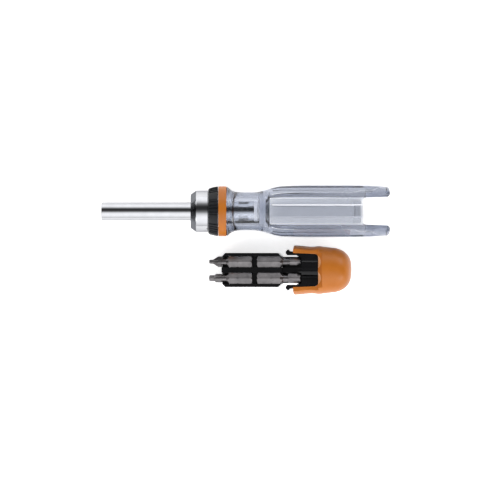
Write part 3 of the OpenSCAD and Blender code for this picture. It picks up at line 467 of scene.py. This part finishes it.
def handle_radius(x):
    """Radius of the handle without its flats."""
    t = x - HANDLE_X
    if t < RIM_END:
        return RIM_R - 0.25 * (1 - ramp(x, FRONT_X, 0.3))
    if t < FLARE_END:
        return NECK_R + (RIM_R - NECK_R) * (1 - (t - RIM_END) / (FLARE_END - RIM_END)) ** 4
    if t < NECK_END:
        return NECK_R
    if t < SHOULDER_END:
        turn = math.pi * (t - NECK_END) / (SHOULDER_END - NECK_END)
        return NECK_R + (SHOULDER_R - NECK_R) / 2 * (1 - math.cos(turn))
    if t < SWELL_END:
        turn = math.pi / 2 * (t - SHOULDER_END) / (SWELL_END - SHOULDER_END)
        return SHOULDER_R + (GRIP_R - SHOULDER_R) * math.sin(turn)
    if t < GRIP_END:
        return GRIP_R
    share = min(1.0, (t - GRIP_END) / TAIL_LENGTH)
    end = min(1.0, max(0.0, (t - ROUND_START) / ROUND_R))
    return GRIP_R - TAIL_DROP * share * share - ROUND_R * (1 - math.sqrt(1 - end * end))


def panel_edges(x, side):
    """How far a panel reaches each way from its middle; a side panel narrows on its side near the pole."""
    low = -PANEL_HALF
    high = PANEL_HALF
    far = PANEL_HALF - sum(loss * ramp(x, start, length) for start, length, loss in NARROWINGS)
    if side > 0:
        high = far
    if side < 0:
        low = -far
    return low, high


def handle_point(x, middle, turn, side):
    """A point of the skin at an angle from the middle of a flat, with how much scuff it has there, a scuff
    that is also a painted highlight.
    """
    radius = handle_radius(x)
    across = math.cos(turn)
    reach = min(radius, FLAT / across)
    v = reach * math.sin(turn)
    low, high = panel_edges(x, side)
    floor = min(FLAT - PANEL_DEPTH, math.sqrt(radius * radius - 3.75 ** 2) - 0.15) / across
    along = ramp(x, PANEL_START, 2.4) * (1 - ramp(x, PANEL_END, 1.6))
    inside = smooth((v - low + WALL_W) / WALL_W) * smooth((high + WALL_W - v) / WALL_W)
    depth = max(0.0, reach - floor) * along * inside
    faces_pole = v * (side if side else -math.sin(middle)) > 0
    # Mostly one wall of each panel gets the scuff, so it is also a painted highlight along that edge.
    scuff_and_highlight = along * min(1.0, 7 * inside * (1 - inside)) * (1.0 if faces_pole else 0.06)
    a = middle + turn
    reach -= depth
    return (x, reach * math.cos(a), reach * math.sin(a)), scuff_and_highlight


def handle_places():
    """Places of the skin's rows along X, closer together where the shape changes."""
    spans = [(73.2, 96.2, 0.75), (96.2, 100.4, 0.28), (100.9, 143.8, 1.5), (144.4, 163.4, 0.5)]
    places = [FRONT_X, 72.0, 72.1, 72.25, 72.45, 72.7]
    for start, end, step in spans:
        places += list(np.arange(start, end, step))
    tail = HANDLE_X + ROUND_START
    places += [tail + ROUND_R * math.sin(math.radians(a)) for a in range(0, 88, 8)]
    return places + [TIP_X - 0.01]


def handle_rows():
    steps = list(np.arange(-PANEL_HALF, PANEL_HALF + 0.1, 0.4))
    walls = [3.35, 3.45, 3.53, 3.61, 3.69, 3.77, 3.85, 3.95, 4.02]
    across = sorted(steps + walls + [-w for w in walls])
    turns = [math.asin(v / FLAT) for v in across]
    ribs = [math.radians(a) for a in (18, 20.5, 23, 25.5, 28)]
    turns = [-a for a in reversed(ribs)] + turns + ribs + [math.radians(30)]
    rows = []
    scuff_and_highlight_levels = []
    for x in handle_places():
        row = []
        for middle, side in FLATS.items():
            for turn in turns:
                point, scuff_and_highlight = handle_point(float(x), math.radians(middle), turn, side)
                row.append(point)
                scuff_and_highlight_levels.append(scuff_and_highlight)
        rows.append(row)
    return rows, scuff_and_highlight_levels


def chamber_cutter():
    """A long box with rounded long edges, whose front end is chamfered all round."""
    rows = []
    for x, inset in ((CHAMBER_X, CHAMBER_SLOPE), (CHAMBER_X + CHAMBER_SLOPE, 0), (PAST_X, 0)):
        half_y = CHAMBER_Y - inset
        half_z = CHAMBER_Z - inset
        corners = [(-half_y, -half_z), (half_y, -half_z), (half_y, half_z), (-half_y, half_z)]
        outline = rounded([(y, z, CHAMBER_CORNER) for y, z in corners], 5)
        rows.append([(x, y, z) for y, z in outline])
    return grid("chamber", rows)


def latch_cutter(side):
    """A recess with softened edges, above the chamber where side is 1 and below it where it is -1."""
    rows = []
    for z, spread in ((0.0, 0.3), (CHAMBER_Z, 0.3), (11.9, 0.0), (12.1, -0.12)):
        start = LATCH_X - spread
        half = LATCH_HALF + spread
        outline = [(start, -half), (LATCH_END, -half), (LATCH_END, half), (start, half)]
        if side < 0:
            outline.reverse()
        rows.append([(x, y, side * z) for x, y in outline])
    return grid("latch", rows)


def handle_cutters():
    """The bore, the chamber, the fork's gap, the latch recesses and a small hollow in each prong's tip."""
    bore = rounded([(70, 0, 0), (BORE_END, 0, 0), (BORE_END, BORE_R, 0.5), (70, BORE_R, 0)])
    half = [(FORK_X, CHAMBER_Y, 2.2), (TIP_X - 1.3, 8.1, 1.8), (TIP_X + 0.8, 11.2, 0)]
    gap = rounded([(x, -y, r) for x, y, r in half] + half[::-1], 8)
    tips = [round_cutter("tip", HOLLOW_X, y * HOLLOW_Y, z, ((7.3, 0.35), (8.4, 1.1), (PAST, 1.1)), 32)
            for y in (1, -1) for z in (1, -1)]
    latches = [latch_cutter(side) for side in (1, -1)]
    return [lathe_solid("bore", bore, 96), chamber_cutter(), prism("gap", gap, -PAST, PAST)] + latches + tips


def in_chamber(x, y, z, start, end):
    return abs(y) < CHAMBER_Y + NEAR and abs(z) < CHAMBER_Z + NEAR and start < x < end


def haze_at(x, y, z):
    """How rough the plastic is: the chamber's side walls and the neck are hazy."""
    if in_chamber(x, y, z, 97.2, FORK_X + 2.5) and abs(y) > 6.0:
        return 1.0
    if 72.5 < x < 82.0 and math.hypot(y, z) > 5.9:
        return 0.5
    return 0.0


def painted_shade_at(x, y, z):
    """How light the plastic's colour is; where it is darker, that is painted shade.

    Thick edges, the prongs, the neck's sides and the middles of the upper and lower panels are darker:
    painted shade where the clear plastic looks darker from how light passes through it.
    """
    if in_chamber(x, y, z, 94.6, FORK_X + 3):
        return 0.97
    side = abs(y)
    edge = 0.97 - 0.4 * ramp(side, 9.8, 1.2) - 0.55 * ramp(side, 11.6, 1.6)
    middle = 0.36 + 0.61 * ramp(side, 3.4, 0.9)
    prong = 1 - 0.97 * ramp(x, 151.0, 2.0)
    grip = min(edge, middle) * prong
    neck = 0.9 - 0.88 * ramp(side, 7.0, 2.5)
    return neck + (grip - neck) * ramp(x, 92.0, 6.0)


def add_field(mesh, name, levels):
    field = mesh.attributes.new(name, "FLOAT", "POINT")
    field.data.foreach_set("value", levels)


def make_handle():
    rows, scuff_and_highlight_levels = handle_rows()
    skin = grid("skin", rows)
    # The scuff field, which is also a painted highlight along one wall of each panel.
    add_field(skin, "scuff_and_highlight", scuff_and_highlight_levels)
    mesh = cut(skin, handle_cutters())
    mesh.name = "clear_handle"
    piece = finish_piece("clear_handle", mesh, [CLEAR], angle=30)
    points = [[value / MM for value in vertex.co] for vertex in piece.data.vertices]
    # Haze makes the plastic rougher; the other field darkens its colour as painted shade.
    for name, level_at in (("haze", haze_at), ("painted_shade", painted_shade_at)):
        add_field(piece.data, name, [level_at(*point) for point in points])
    stand_for(piece, "handle")


make_handle()

# Nose cover, selector ring and colour ring

NOSE_X = 51.4
CHAMFER_END = 54.6
WALL_END = 56.0
NOSE_END = 61.28
NOSE_BORE_R = 6.55
CHAMFER_R = 9.75
NOSE_INNER_R = 11.07
NOSE_R = 12.0
RING_FRONT = 61.46
RING_REAR = 67.14
RING_BORE_R = 11.35
COLOUR_X = 67.32
COLOUR_END = 71.88
COLOUR_BORE_R = 12.3
COLOUR_R = 14.4


def make_nose_cover():
    outline = rounded([(NOSE_X, NOSE_BORE_R, 0.15), (NOSE_X, CHAMFER_R, 0.25), (CHAMFER_END, NOSE_R, 0.6),
                       (NOSE_END, NOSE_R, 0.25), (NOSE_END, NOSE_INNER_R, 0), (WALL_END, NOSE_INNER_R, 0),
                       (WALL_END, NOSE_BORE_R, 0)], 5)
    piece = finish_piece("fine_nose_cover", lathe("fine_nose_cover", outline), [CHROME, SHADED_CHAMFER_CHROME])
    # The chamfer's faces take the darker chrome, which is painted shade.
    for face in piece.data.polygons:
        x, y, z = (value / MM for value in face.center)
        on_chamfer = NOSE_X + NEAR < x < CHAMFER_END - 2 * NEAR
        if on_chamfer and CHAMFER_R - NEAR < math.hypot(y, z) < NOSE_R - NEAR:
            face.material_index = 1
    stand_for(piece, "nose_cover")


def ring_radius(x):
    """The selector ring's slightly convex side."""
    share = (x - RING_FRONT) / (RING_REAR - RING_FRONT)
    bulge = 0.16 * math.sin(math.pi * share)
    front = ramp(x, RING_FRONT, 0.75)
    rear = smooth((RING_REAR - x) / 0.45)
    return 13.0 + 1.35 * share + bulge - 0.34 * (1 - front) - 0.3 * (1 - rear)


def ring_relief(degrees):
    """Height of the ring's side at an angle: five fine ribs in each of six shallow hollows."""
    local = (degrees - 50) % 60 - 30
    hollow = 1 - ramp(abs(local), 17.5, 2.5)
    rib = abs((local + 93.75) % 7.5 - 3.75)
    crest = 0 if abs(local) > 19 else 1 - ramp(rib, 0.55, 0.85)
    return -0.42 * hollow + 0.46 * crest * hollow


def make_selector_ring():
    places = [RING_FRONT + t for t in (0, 0.06, 0.14, 0.24, 0.36, 0.5, 0.66, 0.85, 1.1)]
    places += list(np.arange(RING_FRONT + 1.4, RING_REAR - 0.6, 0.3))
    places += [RING_REAR - t for t in (0.5, 0.38, 0.28, 0.18, 0.1, 0.04, 0)]
    steps = 1080
    relief = [ring_relief(360 * k / steps) for k in range(steps)]
    circle = around(steps)
    rows = []
    for x in places:
        ends = ramp(x, RING_FRONT + 0.2, 0.6) * smooth((RING_REAR - 0.15 - x) / 0.5)
        side = ring_radius(x)
        rows.append([(x, (side + ends * height) * c, (side + ends * height) * s)
                     for height, (c, s) in zip(relief, circle)])
    bore = lathe_solid("ring_bore", [(50, 0), (50, RING_BORE_R), (80, RING_BORE_R), (80, 0)])
    mesh = cut(grid("ring", rows), [bore])
    piece = finish_piece("fine_selector_ring", mesh, [BLACK], angle=50)
    stand_for(piece, "selector_ring")


def make_colour_ring():
    outline = rounded([(COLOUR_X, COLOUR_BORE_R, 0), (COLOUR_X, COLOUR_R, 0.3),
                       (COLOUR_END, COLOUR_R, 0.3), (COLOUR_END, COLOUR_BORE_R, 0)], 5)
    stand_for(finish_piece("fine_colour_ring", lathe("fine_colour_ring", outline), [ORANGE]), "colour_ring")


make_nose_cover()
make_selector_ring()
make_colour_ring()

# End cap: a turned dome with two skirts, cut as the CAD shape is, with softened edges

CAP_X = 125.45
CAP_R = 13.8
BAND_LENGTH = 7
BAND_R = 12.95
DOME_LENGTH = 11.3
SKIRT_X = 110.85
SKIRT_R = 14.22
SKIRT_HALF = 7.5
# The slot between the skirts, which is wider at its mouth, and the channel in it for the snap arms
SLOT_X = 109
SLOT_HALF = 9.2
SLOT_MOUTH = 9.86
SLOT_CORNER = 2.3
CHANNEL_END = 121.8
CHANNEL_HALF = 11.3
CHANNEL_HEIGHT = 3.4
# The hole for the holder's tenon
TENON_X = 124
TENON_END = 132.45
TENON_HALF = 5.52
TENON_HEIGHT = 3.52
# The step over and under the slot, with the heights and radii of the scoops that slope down from it
STEP_X = CAP_X - 1.5
STEP_END = CAP_X + 2.4
STEP_HALF = 12
STEP_Z = 9.3
SCOOP_X = CAP_X - 2.73
SCOOP_Y = 4.65
SCOOP = [(8.1, 2.9), (STEP_Z, 4.4), (PAST, 4.4)]

# The cartridge is shaped level and on the driver's axis, and LAY puts it where it lies: on its cap and,
# at REST_X, on the hexagons of its back bits
REST_X = 73.9
LAYER_Z = 3.9
HEX_R = 6.35 / 2 / math.cos(math.radians(30))
CARTRIDGE_Y = -33.75
TILT = math.atan((CAP_R - LAYER_Z - HEX_R) / (CAP_X - REST_X))
LAY = (Matrix.Translation((CAP_X * MM, CARTRIDGE_Y * MM, (CAP_R * math.cos(TILT) - FLAT) * MM))
       @ Matrix.Rotation(-TILT, 4, "Y") @ Matrix.Translation((-CAP_X * MM, 0, 0)))


def laid(mesh):
    mesh.transform(LAY)
    return mesh


def cap_outline():
    outline = [(CAP_X, 0), (CAP_X, 13.55), (CAP_X + 0.07, 13.7), (CAP_X + 0.25, 13.79)]
    slope = (CAP_R - BAND_R) / BAND_LENGTH
    outline += [(CAP_X + t, CAP_R - slope * t) for t in (1.0, 2.0, 3.5, 5.0, 6.3)]
    for i in range(24):
        t = math.sin(math.radians(90 * i / 24))
        outline.append((CAP_X + BAND_LENGTH + DOME_LENGTH * t, BAND_R * (1 - t ** 1.8) ** (1 / 3)))
    return outline + [(CAP_X + BAND_LENGTH + DOME_LENGTH, 0)]


def skirt_body():
    """The band that the skirts are cut from, with rounded rear ends and long edges."""
    edge = [(0, 0), (0, 13.85), (0.08, 14.08), (0.28, 14.2), (0.6, SKIRT_R)]
    outline = [(SKIRT_X + x, r) for x, r in edge]
    for i in range(1, 9):
        share = i / 8
        outline.append((SKIRT_X + 0.6 + 9.8 * share, SKIRT_R - 0.72 * smooth(share)))
    edge = [(-2.6, 13.58), (-1.4, 13.75), (-0.6, 13.82), (0, CAP_R), (1.7, 13.6), (1.7, 0)]
    outline += [(CAP_X + x, r) for x, r in edge]
    bar = block("bar", 110, 128, PAST, -SKIRT_HALF, SKIRT_HALF)
    return cut(lathe_solid("band", outline), [bar], "INTERSECT")


def slot_cutter():
    outline = rounded([(SLOT_X, -SLOT_MOUTH, 0), (CAP_X, -SLOT_HALF, SLOT_CORNER),
                       (CAP_X, SLOT_HALF, SLOT_CORNER), (SLOT_X, SLOT_MOUTH, 0)], 10)
    return prism("slot", outline, -PAST, PAST)


def on_scoop(face):
    """Whether a face of the laid cap is on the slope of one of its scoops."""
    x, y, z = (value / MM for value in LAY.inverted() @ face.center)
    if not (CAP_X - 0.1 < x < CAP_X + 1.75 and abs(y) < SLOT_HALF and 8.0 < abs(z) < STEP_Z - 0.02):
        return False
    return face.area < 30 * MM * MM


def make_cap():
    mesh = cut(lathe_solid("dome", cap_outline()), [skirt_body()], "UNION")
    channel = block("channel", SLOT_X, CHANNEL_END, CHANNEL_HALF, -CHANNEL_HEIGHT, CHANNEL_HEIGHT)
    tenon = block("tenon", TENON_X, TENON_END, TENON_HALF, -TENON_HEIGHT, TENON_HEIGHT)
    steps = [block("step", STEP_X, STEP_END, STEP_HALF, low, high)
             for low, high in ((STEP_Z, PAST), (-PAST, -STEP_Z))]
    scoops = [round_cutter("scoop", SCOOP_X, y, side, SCOOP, 48)
              for y in (-SCOOP_Y, SCOOP_Y) for side in (1, -1)]
    mesh = laid(cut(mesh, [slot_cutter(), channel, tenon] + steps + scoops))
    piece = finish_piece("fine_end_cap", mesh, [ORANGE, LIT_ORANGE], angle=32)
    # The scoops' slopes take the lighter orange, which is a painted highlight.
    for face in piece.data.polygons:
        if on_scoop(face):
            face.material_index = 1
    stand_for(piece, "end_cap")


make_cap()

# Pieces cut finer from the CAD shapes: bevelled edges and small details

BITS = ["bit_phillips_large", "bit_square", "bit_hex_small", "bit_hex_large", "bit_phillips_small",
        "bit_slotted_narrow", "bit_star", "bit_slotted_wide"]
# Each small spring: the joint that presses it, the height of its seat and the share of its length that stays
SPRINGS = [("detent_spring", "detent_ball_press", 6.82, 0.845),
           ("pawl_spring_left", "pawl_left_rock", 9.18, 0.74),
           ("pawl_spring_right", "pawl_right_rock", 9.18, 0.74)]

# Where the sloped grooves of the holder's base start, and a place past the base's rear end
SLOPE_START = 114.6
PAST_REAR = 126.0
# The arc of the base's rear corners, and how far its cutters reach to the side and up
ARC_X = 123.0
ARC_Y = 6.85
ARC_R = 2.3
ARC_PAST_Y = 9.8
ARC_PAST_Z = 8
# Outlines of the sloped grooves on one side of the base
SLOPES = [[(5.4, 7.25), (5.4, 7.6), (4.2, 7.6), (4.2, 6.65)],
          [(-0.9, 7.25), (-0.9, 7.6), (-3.4, 7.6), (-3.4, 6.2)]]
# The CAD shape's own grooves are filled first: where each runs across, along and in height
FILL_WIDTHS = [(-0.7, 0.7), (4.05, 5.45)]
FILL_START = 115.8
FILL_END = 125.2
FILL_LOW = 6.2
FILL_HIGH = 7.19


def cad_copy(node):
    return edit_mesh(frame["nodes"][node].data.copy(), merge_points, join_flats)


def bar_along(name, outline, start, end, side):
    """A bar along X over an outline of (y, z), turned half round where side is -1."""
    return grid(name, [[(x, side * y, side * z) for y, z in outline] for x in (start, end)])


def corner_cutter(side):
    """What lies outside the arc of one of the base's rear corners."""
    angles = [math.radians(a) for a in range(0, 91, 9)]
    arc = [(ARC_X + ARC_R * math.cos(a), side * (ARC_Y + ARC_R * math.sin(a))) for a in angles]
    outside = [(ARC_X, side * ARC_PAST_Y), (PAST_REAR, side * ARC_PAST_Y)]
    return prism("corner", [(PAST_REAR, side * ARC_Y)] + arc + outside, -ARC_PAST_Z, ARC_PAST_Z)


def make_bits():
    for name in BITS:
        piece = finish_piece("fine_" + name, cad_copy(name), [BIT], angle=32, width=0.1)
        stand_for(piece, name)


def make_holder():
    mesh = cad_copy("bit_holder")
    mesh.transform(LAY.inverted())
    slopes = [bar_along("slope", outline, SLOPE_START, PAST_REAR, side)
              for outline in SLOPES for side in (1, -1)]
    outlines = [[(a, FILL_LOW), (b, FILL_LOW), (b, FILL_HIGH), (a, FILL_HIGH)] for a, b in FILL_WIDTHS]
    fills = [bar_along("fill", outline, FILL_START, FILL_END, side)
             for outline in outlines for side in (1, -1)]
    corners = [corner_cutter(side) for side in (1, -1)]
    mesh = laid(cut(cut(mesh, fills, "UNION"), slopes + corners))
    piece = finish_piece("fine_bit_holder", mesh, [GLOSS], angle=18, width=0.14)
    stand_for(piece, "bit_holder")


def make_springs():
    for node, joint, seat, kept in SPRINGS:
        piece = finish_piece("fine_" + node, frame["nodes"][node].data.copy(), [BRIGHT])
        stand_for(piece, node)
        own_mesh(piece)


make_bits()
make_holder()
make_springs()

# Floor, world, lamps and camera. Their lengths are in metres.

FLOOR_HALF = 3
FLOOR_DROP = 0.00005
FLOOR_GLOW = 0.74
LAMP_X = 1.1
LAMP_Y = 0.9
LAMP_HEIGHT = 0.55
LAMP_SIZE = 0.5


def make_floor():
    """A pale floor that takes the shadow and glows to the camera and in reflections, so that it is white."""
    mesh = bpy.data.meshes.new("floor")
    corners = [(x * FLOOR_HALF, y * FLOOR_HALF, 0) for x, y in ((-1, -1), (1, -1), (1, 1), (-1, 1))]
    mesh.from_pydata(corners, [], [(0, 1, 2, 3)])
    floor = show("floor", mesh)
    floor.location = (CENTRE_X, CENTRE_Y, FLOOR_Z - FLOOR_DROP)
    shade = Shade("floor")
    cloud = shade.spread(shade.noise(3.0), 0, 1)
    shade.drive("Base Color", shade.mix(cloud, (0.90, 0.90, 0.90), (0.91, 0.91, 0.91)))
    shade.set("Roughness", 0.9)
    shade.set("Specular IOR Level", 0.0)
    path = shade.tree.nodes.new("ShaderNodeLightPath")
    seen = path.outputs["Is Camera Ray"]
    for kind in ("Is Glossy Ray", "Is Transmission Ray"):
        seen = shade.add(seen, path.outputs[kind], clamp=True)
    shade.drive("Emission Strength", shade.spread(seen, 0.0, FLOOR_GLOW, 0.0, 1.0))
    shade.set("Emission Color", (1, 1, 1, 1))
    mesh.materials.append(shade.material)


# Brightness of the studio by the angle from straight up towards +Y, in degrees
SKY = [(-180, 0.9), (-100, 0.95), (-89, 1.0), (-75, 1.45), (-62, 1.8), (-37, 1.9), (-26, 1.68),
       (-15, 1.15), (-4, 0.36), (7, 0.085), (18, 0.04), (29, 0.08), (41, 0.37), (53, 1.2), (65, 1.8),
       (79, 1.87), (95, 1.65), (110, 1.2), (180, 0.9)]


def make_world():
    """A soft studio whose brightness changes round the X axis and fades towards both ends of it."""
    world = bpy.data.worlds.new("studio")
    bpy.context.scene.world = world
    world.use_nodes = True
    tree = world.node_tree
    add = tree.nodes.new
    link = tree.links.new
    coords = add("ShaderNodeTexCoord")
    split = add("ShaderNodeSeparateXYZ")
    link(coords.outputs["Generated"], split.inputs["Vector"])
    angle = add("ShaderNodeMath")
    angle.operation = "ARCTAN2"
    link(split.outputs["Y"], angle.inputs[0])
    link(split.outputs["Z"], angle.inputs[1])
    place = add("ShaderNodeMapRange")
    place.inputs["From Min"].default_value = -math.pi
    place.inputs["From Max"].default_value = math.pi
    link(angle.outputs["Value"], place.inputs["Value"])
    sky = add("ShaderNodeValToRGB")
    stops = sky.color_ramp.elements
    while len(stops) < len(SKY):
        stops.new(0.5)
    for stop, (degrees, level) in zip(stops, SKY):
        stop.position = degrees / 360 + 0.5
    for stop, (degrees, level) in zip(stops, SKY):
        share = level / 2
        stop.color = (share, share * 1.003, share * 1.02, 1)
    link(place.outputs["Result"], sky.inputs["Fac"])
    side = add("ShaderNodeMath")
    side.operation = "ABSOLUTE"
    link(split.outputs["X"], side.inputs[0])
    fade = add("ShaderNodeMapRange")
    fade.interpolation_type = "SMOOTHSTEP"
    fade.inputs["From Min"].default_value = 0.4
    fade.inputs["From Max"].default_value = 0.85
    fade.inputs["To Min"].default_value = 2.0
    fade.inputs["To Max"].default_value = 0.2
    link(side.outputs["Value"], fade.inputs["Value"])
    background = tree.nodes["Background"]
    link(sky.outputs["Color"], background.inputs["Color"])
    link(fade.outputs["Result"], background.inputs["Strength"])


def make_lamp(name, x_side, y_side, power):
    """A square lamp off one corner of the picture, pointed at its middle."""
    data = bpy.data.lights.new(name, "AREA")
    data.shape = "RECTANGLE"
    data.size = LAMP_SIZE
    data.size_y = LAMP_SIZE
    data.energy = power
    lamp = show(name, data)
    lamp.location = (CENTRE_X + x_side * LAMP_X, CENTRE_Y + y_side * LAMP_Y, LAMP_HEIGHT)
    lamp.rotation_mode = "QUATERNION"
    way = Vector((CENTRE_X, CENTRE_Y, 0)) - lamp.location
    lamp.rotation_quaternion = way.to_track_quat("-Z", "Y")


def make_camera():
    data = bpy.data.cameras.new("camera")
    data.sensor_width = SENSOR
    data.lens = SENSOR * CAMERA_HEIGHT / (WIDTH_PX * PIXEL)
    data.clip_start = 0.05
    data.clip_end = 20
    camera = show("camera", data)
    camera.location = (CENTRE_X, CENTRE_Y, CAMERA_HEIGHT)
    bpy.context.scene.camera = camera


make_floor()
make_world()
make_camera()
for side in (-1, 1):
    make_lamp("softbox", side, -1, 5)
    make_lamp("fill", side, 1, 3.6)
bpy.context.scene.view_settings.view_transform = "Standard"
